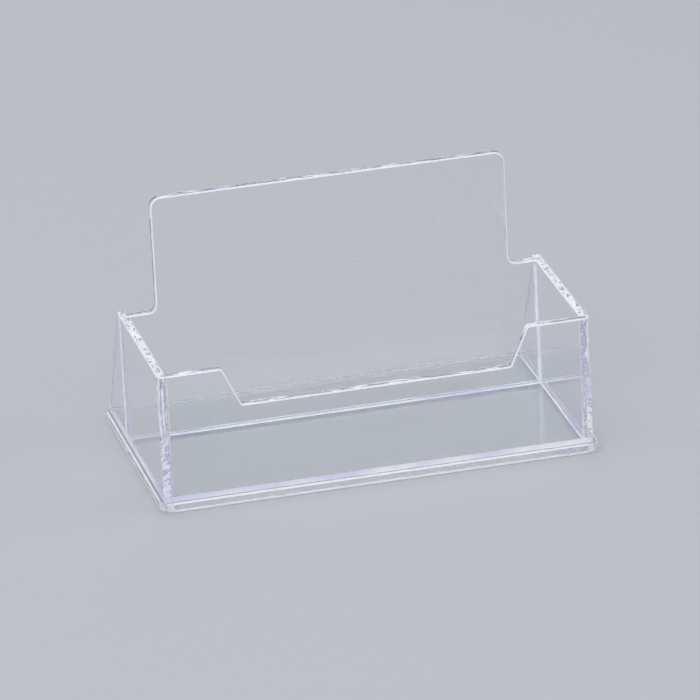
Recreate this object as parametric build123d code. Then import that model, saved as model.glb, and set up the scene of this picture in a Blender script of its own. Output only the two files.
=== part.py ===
import os

from build123d import *

# Clear business card holder, bonded from five pieces of clear sheet.
# Millimetres: X is the width, Y runs from the front to the back, Z is up from the table.

# The cards it is made for
card_width = 90.0
card_end_room = 1.4  # free room at each end of a card
stack_depth = 35.0  # room for the stack of cards, front to back

# The clear sheet
sheet = 2.0  # thickness of the upright panels
base_thickness = 2.2
edge_round = 0.3  # polished edges of the upright panels
corner_round = 1.5  # outer upright corners at the front

# The base plate
base_lip = 1.0  # how far the base stands out beyond the walls
base_corner = 2.8  # its corners, seen from above
base_edge_round = 0.3

# The shallow grooves that place the panels for bonding
groove_depth = 0.5
groove_room = 0.05  # gap between a panel and each wall of its groove

# The front panel and its thumb notch, heights above the table
wall_height = 31.5
notch_height = 22.6
notch_mouth = 68.4  # width at the top of the notch
notch_floor = 60.2  # width at its low edge
mouth_round = 0.9
floor_round = 0.8

# The back panel
back_height = 58.3
neck_inset = 6.2  # the upper part is narrower than the pocket by this much at each side
shoulder_round = 1.8
back_corner_round = 2.4

# The braces, which are the side panels behind the back panel
brace_top = 1.6  # depth behind the back panel at the top
brace_foot = 17.0  # depth behind the back panel at the base
brace_round = 0.6

# Sizes and places that follow from these
pocket_width = card_width + 2 * card_end_room
neck_width = pocket_width - 2 * neck_inset
wall_width = pocket_width + 2 * sheet
wall_depth = 2 * sheet + stack_depth + brace_foot
base_width = wall_width + 2 * base_lip
base_depth = wall_depth + 2 * base_lip
front_y = -wall_depth / 2
pocket_y = front_y + sheet
back_y = pocket_y + stack_depth
brace_y = back_y + sheet
toe_y = brace_y + brace_foot
foot_z = base_thickness - groove_depth


def block(x0, x1, y0, y1, z0, z1):
    """A block given by its six limits."""
    return Pos((x0 + x1) / 2, (y0 + y1) / 2, (z0 + z1) / 2) * Box(x1 - x0, y1 - y0, z1 - z0)


def prism(outline, run):
    """A block with a flat outline of points, drawn out along the vector run."""
    return extrude(make_face(Polyline(outline, close=True)), amount=Vector(run).length, dir=run)


def both_halves(right_half, y):
    """A whole outline in X and Z at one y, from the points of its right half."""
    left_half = [(-x, z) for x, z in reversed(right_half)]
    return [(x, y, z) for x, z in right_half + left_half]


def edges_at(part, axis, a, b):
    """The edges along an axis that pass through a and b, its other two coordinates in order."""
    found = []
    for edge in part.edges().filter_by(axis):
        x, y, z = edge.center()
        place = {Axis.X: (y, z), Axis.Y: (x, z), Axis.Z: (x, y)}[axis]
        if abs(place[0] - a) < 0.01 and abs(place[1] - b) < 0.01:
            found.append(edge)
    return found


def polished(panel, through):
    """Rounds a panel's free edges: not its foot, its uprights or what runs through its thickness."""
    free = []
    for edge in panel.edges():
        along = edge.tangent_at(0.5)
        bonded = abs(along.Z) > 0.999 or abs(along.dot(Vector(through))) > 0.01
        straight = edge.geom_type == GeomType.LINE
        if edge.bounding_box().max.Z > base_thickness and not (straight and bonded):
            free.append(edge)
    return fillet(free, edge_round)


def walls(grow=0.0):
    """The front and side walls as one U-shaped block, each face grown outward by a gap."""
    half, inner = wall_width / 2 + grow, pocket_width / 2 - grow
    front = front_y - grow
    outer = block(-half, half, front, toe_y + grow, foot_z, wall_height)
    corners = edges_at(outer, Axis.Z, -half, front) + edges_at(outer, Axis.Z, half, front)
    outer = fillet(corners, corner_round + grow)
    return outer - block(-inner, inner, pocket_y + grow, base_depth, 0, back_height)


def mitre_wedge():
    """The space in front of the two 45-degree mitres where the front panel meets the sides."""
    reach = wall_width / 2 + sheet
    start = front_y - sheet
    outline = [(-reach, start, 0), (reach, start, 0), (0, start + reach, 0)]
    return prism(outline, (0, 0, back_height))


def make_base_plate():
    """The plate it stands on, grooved for the feet of the four upright panels."""
    x, y = base_width / 2, base_depth / 2
    plate = block(-x, x, -y, y, 0, base_thickness)
    plate = fillet(plate.edges().filter_by(Axis.Z), base_corner)
    flats = plate.faces().sort_by(Axis.Z)
    plate = fillet(flats[0].edges() + flats[-1].edges(), base_edge_round)
    end = pocket_width / 2 + groove_depth
    back_groove = block(-end, end, back_y - groove_room, brace_y + groove_room, foot_z, wall_height)
    return plate - walls(groove_room) - back_groove


def make_front_panel():
    """The low front wall, with mitred ends and a thumb notch with slanting sides."""
    mouth, floor = notch_mouth / 2, notch_floor / 2
    rise = wall_height - notch_height
    above = (2 * mouth - floor, wall_height + rise)
    notch = prism(both_halves([above, (floor, notch_height)], front_y), (0, sheet, 0))
    panel = (walls() & mitre_wedge()) - notch
    for side in (-1, 1):
        panel = fillet(edges_at(panel, Axis.Y, side * mouth, wall_height), mouth_round)
        panel = fillet(edges_at(panel, Axis.Y, side * floor, notch_height), floor_round)
    return polished(panel, (0, 1, 0))


def make_side_panel(side):
    """A side wall: mitred at the front, sloping behind the back panel, grooved for that panel."""
    brace_end = brace_y + brace_top
    outline = [
        (0, front_y, foot_z),
        (0, toe_y, foot_z),
        (0, toe_y, base_thickness),
        (0, brace_end, wall_height),
        (0, front_y, wall_height),
    ]
    panel = (walls() - mitre_wedge()) & prism(outline, (side * base_width, 0, 0))
    panel = fillet(edges_at(panel, Axis.X, brace_end, wall_height), brace_round)
    panel = polished(panel, (1, 0, 0))
    deep = side * (pocket_width / 2 + groove_depth)
    x0, x1 = sorted((0, deep))
    return panel - block(x0, x1, back_y - groove_room, brace_y + groove_room, 0, back_height)


def make_back_panel():
    """The tall wall that the cards lean on, set into the side panels up to its shoulders."""
    end, neck = pocket_width / 2 + groove_depth - groove_room, neck_width / 2
    half = [(neck, back_height), (neck, wall_height), (end, wall_height), (end, foot_z)]
    panel = prism(both_halves(half, back_y), (0, sheet, 0))
    for side in (-1, 1):
        panel = fillet(edges_at(panel, Axis.Y, side * neck, back_height), back_corner_round)
        panel = fillet(edges_at(panel, Axis.Y, side * neck, wall_height), shoulder_round)
    return polished(panel, (0, 1, 0))


pieces = {
    "base_plate": make_base_plate(),
    "front_panel": make_front_panel(),
    "left_side_panel": make_side_panel(-1),
    "right_side_panel": make_side_panel(1),
    "back_panel": make_back_panel(),
}

os.makedirs("parts", exist_ok=True)
for name, piece in pieces.items():
    export_step(piece, f"parts/{name}.step")
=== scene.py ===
import math

import bmesh
import bpy
import numpy as np
from mathutils import Matrix, Vector


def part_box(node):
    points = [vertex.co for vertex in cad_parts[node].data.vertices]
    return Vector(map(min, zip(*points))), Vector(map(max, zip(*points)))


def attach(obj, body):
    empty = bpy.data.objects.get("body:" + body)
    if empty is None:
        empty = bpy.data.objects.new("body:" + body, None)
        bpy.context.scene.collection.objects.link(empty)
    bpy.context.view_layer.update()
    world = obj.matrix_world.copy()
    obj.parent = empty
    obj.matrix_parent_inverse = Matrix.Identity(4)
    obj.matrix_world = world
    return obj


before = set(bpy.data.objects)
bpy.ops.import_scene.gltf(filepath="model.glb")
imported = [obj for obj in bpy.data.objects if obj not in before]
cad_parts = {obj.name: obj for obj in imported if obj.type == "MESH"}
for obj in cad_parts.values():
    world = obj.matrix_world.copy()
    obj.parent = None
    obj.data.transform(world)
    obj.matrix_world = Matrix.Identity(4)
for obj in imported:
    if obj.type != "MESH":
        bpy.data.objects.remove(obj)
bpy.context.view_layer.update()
scene = bpy.context.scene
scene.view_settings.view_transform = "Standard"
# Light that is mirrored to and fro inside clear walls needs long paths, and sharp ones.
cycles = scene.cycles
cycles.max_bounces = cycles.transmission_bounces = cycles.glossy_bounces = 48
cycles.diffuse_bounces = cycles.transparent_max_bounces = 16
cycles.blur_glossy = 0.0


# Base plate
# The foot of the stand: a 2.2 mm plate of clear cast acrylic with rounded corners and a polished rim.
# Shallow grooves in its top take the feet of the four upright panels, which are welded in with solvent.

MM = 0.001


def linear(hex_colour):
    """An sRGB hex colour in linear light: c / 12.92 in the toe, else ((c + 0.055) / 1.055) ^ 2.4."""
    s = np.array([int(hex_colour[i:i + 2], 16) for i in (1, 3, 5)]) / 255
    rgb = np.where(s <= 0.04045, s / 12.92, ((s + 0.055) / 1.055) ** 2.4)
    return (*rgb.tolist(), 1.0)


def per_metre(size_mm):
    """A texture scale, in features to the metre, for features of this size."""
    return 1000 / size_mm


def add(tree, kind, inputs=None, **settings):
    """Adds a shader node with its settings, its sockets set to plain values or linked to outputs."""
    node = tree.nodes.new("ShaderNode" + kind)
    for name, value in settings.items():
        setattr(node, name, value)
    for socket, value in (inputs or {}).items():
        if isinstance(value, bpy.types.NodeSocket):
            tree.links.new(value, node.inputs[socket])
        else:
            node.inputs[socket].default_value = value
    return node


def new_finish(name):
    """An empty node material of this name, its tree, and the place on the object as a socket."""
    finish = bpy.data.materials.new(name)
    finish.use_nodes = True
    tree = finish.node_tree
    tree.nodes.clear()
    return finish, tree, add(tree, "TexCoord").outputs["Object"]


def noise(tree, place, size_mm, detail, roughness=0.5):
    """Noise with features of this size."""
    return add(tree, "TexNoise", {"Vector": place, "Scale": per_metre(size_mm), "Detail": detail,
                                  "Roughness": roughness}).outputs["Fac"]


def ramp(tree, value, low, high, at_low=0.0, at_high=1.0):
    """A value drawn out from the range low to high to the range at_low to at_high, and held at its ends."""
    return add(tree, "MapRange", {"Value": value, "From Min": low, "From Max": high,
                                  "To Min": at_low, "To Max": at_high}).outputs["Result"]


def share(tree, amount, at_none, at_all):
    """What lies between two values at an amount from 0 to 1."""
    return ramp(tree, amount, 0.0, 1.0, at_none, at_all)


def maths(tree, operation, *values):
    """The result of a sum with one or two values."""
    return add(tree, "Math", dict(enumerate(values)), operation=operation).outputs["Value"]


def stretched(tree, place, **sockets):
    """A place turned or scaled before it goes to a texture."""
    return add(tree, "Mapping", {"Vector": place, **sockets}).outputs["Vector"]


ACRYLIC_IOR = 1.49


def acrylic(tree, colour, clear, dull, **others):
    """Ends a finish as acrylic: its colour, how clear and how dull it is, and any other sockets."""
    surface = add(tree, "BsdfPrincipled", {"Base Color": colour, "IOR": ACRYLIC_IOR,
                                           "Transmission Weight": clear, "Roughness": dull, **others})
    add(tree, "OutputMaterial", {"Surface": surface.outputs["BSDF"]})


# Clear cast acrylic, as it comes off the glass moulds: colourless, flat to a slow ripple, and
# marked only by faint wipe hazes, so the sheet is seen by what it mirrors and bends.
RIPPLE, RIPPLE_HEIGHT = 14.0, 0.010
WIPE, WIPE_HAZE = 9.0, 0.05


def wipe_haze(tree, place):
    """The roughness that wiping leaves, in faint patches."""
    return ramp(tree, noise(tree, place, WIPE, 4.0, 0.6), 0.45, 0.75, 0.0, WIPE_HAZE)


clear_sheet, tree, place = new_finish("clear_cast_acrylic")
swell = add(tree, "Bump", {"Height": noise(tree, place, RIPPLE, 1.0), "Strength": 1.0,
                           "Distance": RIPPLE_HEIGHT * MM})
acrylic(tree, linear("#FDFEFF"), 1.0, wipe_haze(tree, place), Normal=swell.outputs["Normal"])


# The same acrylic where it was cut: sawn milky and only partly polished clear again, in streaks along
# the cut, and gathering light with a faint blue to violet cast.
STREAK_WIDTH, STREAK_RIDGE = 0.7, 0.03
CAST_PATCH = 14.0
FAINT_CAST, EDGE_CAST = "#ECECFE", "#D6D8F8"


def cast_of(tree, place, cast):
    """The cast of gathered light: patches of this colour in white."""
    tint = add(tree, "ValToRGB", {"Fac": noise(tree, place, CAST_PATCH, 1.0)})
    patch, white = tint.color_ramp.elements
    patch.position, patch.color = 0.38, linear(cast)
    white.position, white.color = 0.56, linear("#FCFDFF")
    return tint.outputs["Color"]


def cut_edge(name, across, draw, clearest, clear_to, milky_from):
    """An edge with streaks along the cut, this many times as long as they are wide across the sheet:
    clearest where their noise is up to clear_to, and milky where it is milky_from or more."""
    finish, tree, place = new_finish(name)
    drawn = stretched(tree, place, Scale=[1.0 if axis == across else 1 / draw for axis in range(3)])
    streak = noise(tree, drawn, STREAK_WIDTH, 3.0, 0.6)
    milk = ramp(tree, streak, clear_to, milky_from)
    ridge = add(tree, "Bump", {"Height": streak, "Strength": 0.5, "Distance": STREAK_RIDGE * MM})
    acrylic(tree, cast_of(tree, place, EDGE_CAST), share(tree, milk, clearest, 0.08),
            share(tree, milk, 0.05, 0.45), Normal=ridge.outputs["Normal"])
    return finish


# The corners of every cut edge are scraped round, which leaves them frosted: they catch light from all
# sides and draw the panels in thin white lines.
SPECKLE = 0.8

arris, tree, place = new_finish("scraped_acrylic_arris")
speckle = noise(tree, place, SPECKLE, 2.0)
acrylic(tree, linear("#FCFCFF"), ramp(tree, speckle, 0.35, 0.65, 0.35, 0.05), 0.40)


# Acrylic that was ground, sawn or milled and left so: grainy and white, and too dull to mirror anything.
def frosted(name, grain_mm, least_milk, most_milk):
    """A ground finish with a grain of this size, milky by a share between these two."""
    finish, tree, place = new_finish(name)
    clear = ramp(tree, noise(tree, place, grain_mm, 3.0, 0.6), 0.38, 0.60, 1 - least_milk, 1 - most_milk)
    acrylic(tree, cast_of(tree, place, FAINT_CAST), clear, 0.55)
    return finish


# The plate's rim: polished to a satin that is clear but blurs what lies behind it, and scuffed white
# along its foot, where it slides on tables.
SCUFF_TOP, SCUFF_FULL = 0.70, 0.50
SCUFF = 1.1

rim, tree, place = new_finish("polished_acrylic_rim")
height = add(tree, "SeparateXYZ", {"Vector": place}).outputs["Z"]
low = ramp(tree, height, SCUFF_TOP * MM, SCUFF_FULL * MM)
rubbed = ramp(tree, noise(tree, place, SCUFF, 3.0, 0.6), 0.35, 0.55, 0.35, 0.95)
scuffed = maths(tree, "MULTIPLY", low, rubbed)
acrylic(tree, linear("#FAFAFF"), share(tree, scuffed, 1.0, 0.0), share(tree, scuffed, 0.20, 0.60))


# A solvent weld: the two faces have melted into one, so light goes straight on, but a thin milky film
# and strings of pinhead bubbles are left in the joint.
FILM = 2.2
BUBBLE, BUBBLE_MILK = 0.8, 0.5


def solvent_weld(name, thinnest, thickest):
    """A weld whose milky film covers between these two shares of what is behind it."""
    finish, tree, place = new_finish(name)
    film = ramp(tree, noise(tree, place, FILM, 3.0, 0.6), 0.35, 0.7, thinnest, thickest)
    bubble = add(tree, "TexVoronoi", {"Vector": place, "Scale": per_metre(BUBBLE)}).outputs["Distance"]
    spot = ramp(tree, bubble, 0.10, 0.24, BUBBLE_MILK, 0.0)
    acrylic(tree, linear("#F6F6FF"), 0.0, 0.5, Alpha=maths(tree, "MAXIMUM", film, spot))
    return finish


foot_weld = solvent_weld("solvent_weld_at_foot", 0.0, 0.08)
milky_corner = frosted("scraped_acrylic_corner", 0.9, 0.10, 0.55)


def faces(node):
    """The middles, in millimetres, and the normals of a panel's faces, and which of them are curved."""
    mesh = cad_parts[node].data
    count = len(mesh.polygons)
    middle, normal, curved = np.empty(count * 3), np.empty(count * 3), np.empty(count, bool)
    mesh.polygons.foreach_get("center", middle)
    mesh.polygons.foreach_get("normal", normal)
    mesh.polygons.foreach_get("use_smooth", curved)
    return middle.reshape(-1, 3) / MM, normal.reshape(-1, 3), curved


def dress(node, edge_finish, *others):
    """Gives a panel its finishes: others are pairs of a finish and the faces that take it, the first pair
    that fits a face wins, and the cut edge's finish goes everywhere else."""
    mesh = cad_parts[node].data
    mesh.materials.clear()
    for finish in (edge_finish, *(finish for finish, taken in others)):
        mesh.materials.append(finish)
    index = np.select([taken for finish, taken in others], range(1, len(others) + 1), 0).astype(np.int32)
    mesh.polygons.foreach_set("material_index", index)
    mesh.update()


def limits(node):
    """A panel's lowest and highest corners, in millimetres."""
    return tuple(np.array(corner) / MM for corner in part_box(node))


X, Y, Z = 0, 1, 2
FLAT, LEVEL, NEAR = 0.999, 0.01, 0.02
RIM_DEPTH = 0.5
plate_high = limits("base_plate")[1]
front_low, front_high = limits("front_panel")
PLATE_TOP = plate_high[Z]
GROOVE_FLOOR = front_low[Z]

middle, normal, curved = faces("base_plate")
flat = (np.abs(normal[:, Z]) > FLAT) & ~curved
inside_rim = (np.abs(middle[:, :Z]) < plate_high[:Z] - RIM_DEPTH).all(1)
groove_floor = (np.abs(middle[:, Z] - GROOVE_FLOOR) < NEAR) & flat
rounded_corner = curved & (np.abs(normal[:, :Z]) > LEVEL).all(1)
dress("base_plate", rim, (foot_weld, groove_floor), (clear_sheet, flat | inside_rim),
      (milky_corner, rounded_corner), (arris, curved & (np.abs(normal[:, Z]) > LEVEL)))


# Front and side panels
# Three uprights of 2 mm clear acrylic that make a U: the notched front panel and two sides whose rear
# edges slope down to the back of the plate. They meet in mitred, rounded corners, welded.

MITRE = math.sqrt(0.5)

edge_across_y = cut_edge("cut_acrylic_edge_front_to_back", Y, 6.0, 0.95, 0.48, 0.60)
edge_across_x = cut_edge("cut_acrylic_edge_side_to_side", X, 3.0, 0.90, 0.38, 0.52)
mitre_weld = solvent_weld("solvent_weld_in_mitre", 0.15, 0.50)


def foot(middle, normal):
    """The faces on which a panel stands in its groove."""
    return (np.abs(middle[:, Z] - GROOVE_FLOOR) < NEAR) & (normal[:, Z] < -FLAT)


def mitred(normal, curved):
    """The flat faces of a corner mitre, at 45 degrees."""
    return (np.abs(np.abs(normal[:, :Z]) - MITRE) < LEVEL).all(1) & ~curved


# The rounded corner over a mitre: scraped and polished along its length, which leaves upright lines of
# milky and clear. Low down the solvent has turned it white, apart from slanting gaps it didn't reach.
LINE_WIDTH, LINE_DRAW = 0.5, 12.0
GAP_WIDTH, GAP_DRAW = 0.8, 4.0
GAP_SLANT = math.radians(40)
WHITE_FROM, WHITE_FULL = 22.0, 11.0

corner, tree, place = new_finish("mitred_acrylic_corner")
upright = stretched(tree, place, Scale=(1.0, 1.0, 1 / LINE_DRAW))
lines = ramp(tree, noise(tree, upright, LINE_WIDTH, 1.0), 0.46, 0.58)
slanted = stretched(tree, place, Rotation=(GAP_SLANT, 0.0, 0.0))
drawn = stretched(tree, slanted, Scale=(1 / GAP_DRAW, 1 / GAP_DRAW, 1.0))
between_gaps = ramp(tree, noise(tree, drawn, GAP_WIDTH, 2.0), 0.58, 0.50)
height = add(tree, "SeparateXYZ", {"Vector": place}).outputs["Z"]
low = ramp(tree, height, WHITE_FROM * MM, WHITE_FULL * MM)
milk = add(tree, "Mix", {"Factor": low, "A": lines, "B": between_gaps}).outputs["Result"]
acrylic(tree, cast_of(tree, place, FAINT_CAST), share(tree, milk, 0.97, 0.10), share(tree, milk, 0.06, 0.50))


def on_corner(normal, curved):
    """The faces of a rounded upright corner."""
    return curved & (np.abs(normal[:, Z]) < LEVEL) & (np.abs(normal[:, :Z]) > LEVEL).all(1)


middle, normal, curved = faces("front_panel")
dress("front_panel", edge_across_y, (corner, on_corner(normal, curved)),
      (foot_weld, foot(middle, normal)), (mitre_weld, mitred(normal, curved)),
      (clear_sheet, (np.abs(normal[:, Y]) > FLAT) & ~curved),
      (arris, curved & (np.abs(normal[:, Y:]) > LEVEL).all(1)))

back_low, back_high = limits("back_panel")
back_middle, back_thickness = (back_low[Y] + back_high[Y]) / 2, back_high[Y] - back_low[Y]
SLOT_ROOM = 0.05

slope = frosted("ground_acrylic_slope", 0.9, 0.55, 0.95)
milled = frosted("milled_acrylic_slot", 0.7, 0.55, 0.95)


def on_slope(middle, normal, curved):
    """The sloping rear edge of a side panel."""
    return (normal[:, Y] > LEVEL) & (middle[:, Y] > back_high[Y] + SLOT_ROOM + NEAR) & ~curved


# The side panels' sheet: clear, but turned milky white, in mottled patches, in a margin along the sloping
# edge and over the slot for the back panel. This white is a painted highlight for the light that those edges
# catch.
MARGIN, FADE = 1.3, 0.15
HIGHLIGHT_MOTTLE = 0.6

middle, normal, curved = faces("right_side_panel")
on_edge = on_slope(middle, normal, curved)
slope_normal = normal[on_edge].mean(0)
margin_start = (middle[on_edge] @ slope_normal).mean() - MARGIN

side_sheet, tree, place = new_finish("clear_cast_acrylic_with_painted_highlight_margins")
reach = add(tree, "VectorMath", {0: place, 1: slope_normal}, operation="DOT_PRODUCT").outputs["Value"]
highlight_along_slope = ramp(tree, reach, (margin_start - FADE) * MM, (margin_start + FADE) * MM)
along = add(tree, "SeparateXYZ", {"Vector": place}).outputs["Y"]
from_slot = maths(tree, "ABSOLUTE", maths(tree, "SUBTRACT", along, back_middle * MM))
highlight_over_slot = ramp(tree, from_slot, (back_thickness / 2 + FADE) * MM, (back_thickness / 2 - FADE) * MM)
highlight_mottle = ramp(tree, noise(tree, place, HIGHLIGHT_MOTTLE, 2.0), 0.35, 0.65, 0.62, 0.97)
# white is the share of painted highlight: milky white along the slope and over the slot, mottled by noise.
white = maths(tree, "MULTIPLY", maths(tree, "MAXIMUM", highlight_along_slope, highlight_over_slot), highlight_mottle)
acrylic(tree, linear("#FBFBFF"), maths(tree, "SUBTRACT", 1.0, white),
        share(tree, white, wipe_haze(tree, place), 0.6))

for node in ("left_side_panel", "right_side_panel"):
    middle, normal, curved = faces(node)
    by_slot = np.abs(middle[:, Y] - back_middle) < back_thickness
    slot_wall = by_slot & (np.abs(normal[:, Y]) > FLAT)
    slot_floor = by_slot & (np.abs(np.abs(middle[:, X]) - back_high[X] - SLOT_ROOM) < NEAR)
    dress(node, edge_across_x, (corner, on_corner(normal, curved)),
          (foot_weld, foot(middle, normal)), (mitre_weld, mitred(normal, curved)),
          (milled, slot_wall), (clear_sheet, slot_floor),
          (side_sheet, (np.abs(normal[:, X]) > FLAT) & ~curved),
          (slope, on_slope(middle, normal, curved)),
          (arris, curved & (np.abs(normal[:, ::2]) > LEVEL).all(1)))

# Dried solvent cement: a thin bead that ran along a joint and set milky, with fine bubbles in it.
FROTH = 0.9

cement, tree, place = new_finish("dried_solvent_cement")
clear = ramp(tree, noise(tree, place, FROTH, 3.0, 0.6), 0.35, 0.65, 0.40, 0.10)
acrylic(tree, cast_of(tree, place, FAINT_CAST), clear, 0.3)

BEAD_SPACING = 1.5
BEAD_STEPS = 7
STAND_OFF = 0.02
SWELL, SWELL_RUNS = 0.03, (3.1, 7.7)


def straight(start, end, normal):
    """Points from start to end about a bead's spacing apart, and the wall's normal at each."""
    start, end = np.array(start, float), np.array(end, float)
    count = max(2, int(np.linalg.norm(end - start) / BEAD_SPACING) + 1)
    points = start + (end - start) * np.linspace(0, 1, count)[:, None]
    return points, np.tile(np.array(normal, float), (count, 1))


def joined(*runs):
    """Runs end to end as one path, whose normal in a corner is the sum of those of its two walls."""
    points, normals = list(runs[0][0]), list(runs[0][1])
    for more, normal in runs[1:]:
        if np.allclose(points[-1], more[0]):
            normals[-1] = normals[-1] if np.allclose(normals[-1], normal[0]) else normals[-1] + normal[0]
            more, normal = more[1:], normal[1:]
        points.extend(more)
        normals.extend(normal)
    return np.array(points), np.array(normals)


def cement_bead(name, path, off_wall, up_wall, width, height, closed=False):
    """A bead in the angle between two faces, carried along a path. Each section is path + off_wall u +
    up_wall v: its free side is a hollow quarter ellipse, u = width (1 - sin t), v = height (1 - cos t),
    swelling and shrinking a little along the run, and its other sides stand a hair off the acrylic, which
    keeps it white."""
    t = np.linspace(0, np.pi / 2, BEAD_STEPS)
    u = np.append(width * (1 - np.sin(t)), 0)
    v = np.append(height * (1 - np.cos(t)), 0)
    travel = np.concatenate([[0], np.cumsum(np.linalg.norm(np.diff(path, axis=0), axis=1))])
    swell = 1 + SWELL * np.sin(travel / SWELL_RUNS[0]) * np.sin(travel / SWELL_RUNS[1] + 1)
    u, v = (STAND_OFF + size[None] * swell[:, None] for size in (u, v))
    points = path[:, None] + off_wall[:, None] * u[..., None] + up_wall[:, None] * v[..., None]
    rows, around = points.shape[:2]
    i, j = np.meshgrid(np.arange(rows if closed else rows - 1), np.arange(around), indexing="ij")
    i2, j2 = (i + 1) % rows, (j + 1) % around
    quads = np.stack([i * around + j, i * around + j2, i2 * around + j2, i2 * around + j], -1)
    caps = [] if closed else [list(range(around)), list(range((rows - 1) * around, rows * around))]
    mesh = bpy.data.meshes.new(name)
    mesh.from_pydata((points.reshape(-1, 3) * MM).tolist(), [], quads.reshape(-1, 4).tolist() + caps)
    shell = bmesh.new()
    shell.from_mesh(mesh)
    bmesh.ops.recalc_face_normals(shell, faces=shell.faces)
    shell.to_mesh(mesh)
    shell.free()
    mesh.shade_smooth()
    mesh.set_sharp_from_angle(angle=math.radians(35))
    mesh.materials.append(cement)
    bead = bpy.data.objects.new(name, mesh)
    scene.collection.objects.link(bead)
    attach(bead, "root")


BEND = 1.5
TOE_ROOM = 1.0
OUTSIDE_WIDTH, OUTSIDE_HEIGHT = 0.12, 1.15
right_low, right_high = limits("right_side_panel")
OUTER, INNER = right_high[X], right_low[X]
FRONT, POCKET_FRONT = front_low[Y], front_high[Y]
BEAD_END = right_high[Y] - TOE_ROOM
UPWARD = np.array([[0.0, 0.0, 1.0]])


def bend(middle_x, middle_y, start, end):
    """The rounded corner of the wall: a quarter circle, whose normals point away from its middle."""
    t = np.radians(np.linspace(start, end, 9))
    out = np.stack([np.cos(t), np.sin(t), 0 * t], 1)
    return np.array([middle_x, middle_y, PLATE_TOP]) + BEND * out, out


path, off_wall = joined(
    straight((-OUTER, BEAD_END, PLATE_TOP), (-OUTER, FRONT + BEND, PLATE_TOP), (-1, 0, 0)),
    bend(-OUTER + BEND, FRONT + BEND, 180, 270),
    straight((-OUTER + BEND, FRONT, PLATE_TOP), (OUTER - BEND, FRONT, PLATE_TOP), (0, -1, 0)),
    bend(OUTER - BEND, FRONT + BEND, 270, 360),
    straight((OUTER, FRONT + BEND, PLATE_TOP), (OUTER, BEAD_END, PLATE_TOP), (1, 0, 0)))
cement_bead("cement_bead_outside", path, off_wall, UPWARD, OUTSIDE_WIDTH, OUTSIDE_HEIGHT)


# Back panel
# The tall panel that the cards lean on, 2 mm clear acrylic, narrower above the side panels. Its sawn ends
# stand in slots in the side panels and its foot in the plate, with cement along every joint.

sawn_end = frosted("sawn_acrylic_end", 1.2, 0.85, 1.0)

middle, normal, curved = faces("back_panel")
in_slot = (np.abs(np.abs(middle[:, X]) - back_high[X]) < NEAR) & (np.abs(normal[:, X]) > FLAT)
dress("back_panel", edge_across_y, (sawn_end, in_slot), (foot_weld, foot(middle, normal)),
      (clear_sheet, (np.abs(normal[:, Y]) > FLAT) & ~curved),
      (arris, curved & (np.abs(normal[:, Y]) > LEVEL)))

FOOT_BEAD, CORNER_BEAD, SLOT_BEAD = 0.30, 0.22, 0.35
FOOT_ROOM, TOP_ROOM = 0.4, 0.9
BACK_FRONT, BACK_REAR = back_low[Y], back_high[Y]

pocket = [(x, y, PLATE_TOP) for x, y in ((-INNER, POCKET_FRONT), (INNER, POCKET_FRONT),
                                         (INNER, BACK_FRONT), (-INNER, BACK_FRONT))]
inward = [(0, 1, 0), (-1, 0, 0), (0, -1, 0), (1, 0, 0)]
path, off_wall = joined(*(straight(pocket[k], pocket[(k + 1) % 4], inward[k]) for k in range(4)))
off_wall[0] += off_wall[-1]
cement_bead("cement_bead_in_pocket", path[:-1], off_wall[:-1], UPWARD, FOOT_BEAD, FOOT_BEAD, closed=True)

path, off_wall = joined(
    straight((-INNER, BEAD_END, PLATE_TOP), (-INNER, BACK_REAR, PLATE_TOP), (1, 0, 0)),
    straight((-INNER, BACK_REAR, PLATE_TOP), (INNER, BACK_REAR, PLATE_TOP), (0, 1, 0)),
    straight((INNER, BACK_REAR, PLATE_TOP), (INNER, BEAD_END, PLATE_TOP), (-1, 0, 0)))
cement_bead("cement_bead_behind", path, off_wall, UPWARD, FOOT_BEAD, FOOT_BEAD)

UPRIGHT_FOOT, UPRIGHT_TOP = PLATE_TOP + FOOT_ROOM, right_high[Z] - TOP_ROOM
for end, side in (("left", -1), ("right", 1)):
    for joint, y, facing, size in (("corner", POCKET_FRONT, 1, CORNER_BEAD),
                                   ("front", BACK_FRONT, -1, SLOT_BEAD), ("rear", BACK_REAR, 1, SLOT_BEAD)):
        x = side * INNER
        path, off_wall = straight((x, y, UPRIGHT_FOOT), (x, y, UPRIGHT_TOP), (-side, 0, 0))
        cement_bead(f"cement_bead_{end}_{joint}", path, off_wall, np.array([[0.0, facing, 0.0]]), size, size)


# Studio
# A plain pale grey table, large soft lamps overhead, at both sides, in front and behind, and a long lens
# from the front left.

# The table's paint: matt, so it shows a soft shadow and no mirror image.
table_grey = bpy.data.materials.new("painted_table")
table_grey.use_nodes = True
paint = table_grey.node_tree.nodes["Principled BSDF"]
paint.inputs["Base Color"].default_value = linear("#BEC1C6")
paint.inputs["Roughness"].default_value = 0.75

TABLE_HALF = 6.0
TABLE_DROP = 0.05 * MM
corners = np.array([(-1, -1, 0), (1, -1, 0), (1, 1, 0), (-1, 1, 0)]) * TABLE_HALF - (0, 0, TABLE_DROP)
mesh = bpy.data.meshes.new("table")
mesh.from_pydata(corners.tolist(), [], [(0, 1, 2, 3)])
mesh.materials.append(table_grey)
table = bpy.data.objects.new("table", mesh)
scene.collection.objects.link(table)

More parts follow.
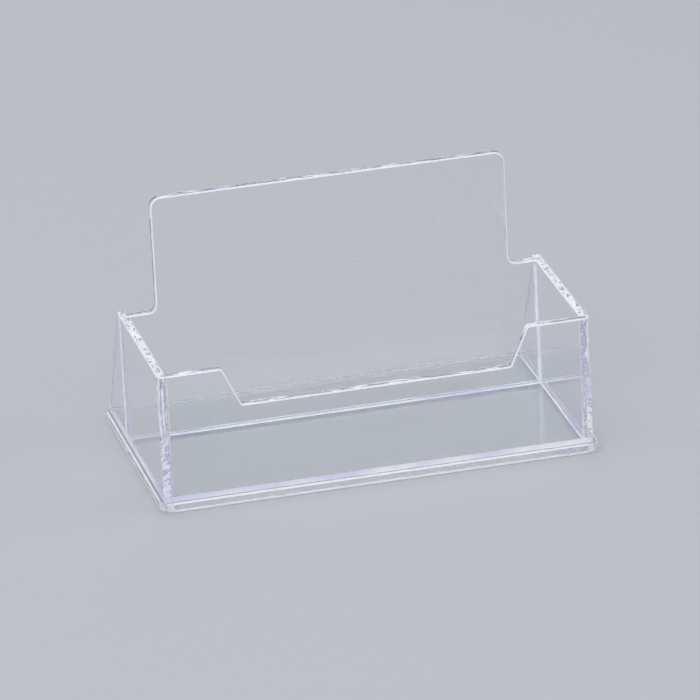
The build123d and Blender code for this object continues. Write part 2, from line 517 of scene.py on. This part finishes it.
world = bpy.data.worlds.new("studio")
world.use_nodes = True
world.node_tree.nodes.clear()
room = add(world.node_tree, "Background", {"Color": linear("#F6F7FA"), "Strength": 0.45})
add(world.node_tree, "OutputWorld", {"Surface": room.outputs["Background"]})
scene.world = world

AIM = Vector((0.0, 0.0, 0.03))


def soft_lamp(name, place, width, height, radiance):
    """A flat soft lamp of this radiance that faces the stand: power is pi x area x radiance."""
    lamp = bpy.data.lights.new(name, "AREA")
    lamp.shape = "RECTANGLE"
    lamp.size, lamp.size_y = width, height
    lamp.energy = math.pi * width * height * radiance
    item = bpy.data.objects.new(name, lamp)
    turn = (AIM - Vector(place)).to_track_quat("-Z", "Y")
    item.matrix_world = Matrix.Translation(place) @ turn.to_matrix().to_4x4()
    scene.collection.objects.link(item)


soft_lamp("overhead_lamp", (0.0, 0.2, 1.05), 1.0, 0.8, 0.62)
soft_lamp("left_lamp", (-1.05, -0.45, 0.75), 1.6, 1.4, 0.98)
soft_lamp("right_lamp", (1.0, -0.40, 0.60), 1.2, 1.1, 0.95)
soft_lamp("front_lamp", (-0.2, -1.25, 0.70), 1.4, 0.8, 1.3)
soft_lamp("rear_lamp", (-0.1, 0.95, 0.80), 1.2, 0.5, 1.4)

AZIMUTH, ELEVATION, ROLL = (math.radians(v) for v in (-13.1555, 22.3133, -2.9004))
DISTANCE = 1.5453
TARGET = Vector((0.91, 0.0, 20.02)) * MM
SENSOR, LENS = 36.0, 360.12

back = Vector((math.sin(AZIMUTH) * math.cos(ELEVATION), -math.cos(AZIMUTH) * math.cos(ELEVATION),
               math.sin(ELEVATION)))
level = (-back).cross(Vector((0, 0, 1))).normalized()
upright = level.cross(-back)
right = math.cos(ROLL) * level + math.sin(ROLL) * upright
up = -math.sin(ROLL) * level + math.cos(ROLL) * upright
lens = bpy.data.cameras.new("camera")
lens.sensor_fit, lens.sensor_width, lens.lens = "HORIZONTAL", SENSOR, LENS
lens.clip_start, lens.clip_end = 0.05, 50.0
camera = bpy.data.objects.new("camera", lens)
stand = Matrix.Translation(TARGET + back * DISTANCE)
camera.matrix_world = stand @ Matrix((right, up, back)).transposed().to_4x4()
scene.collection.objects.link(camera)
scene.camera = camera
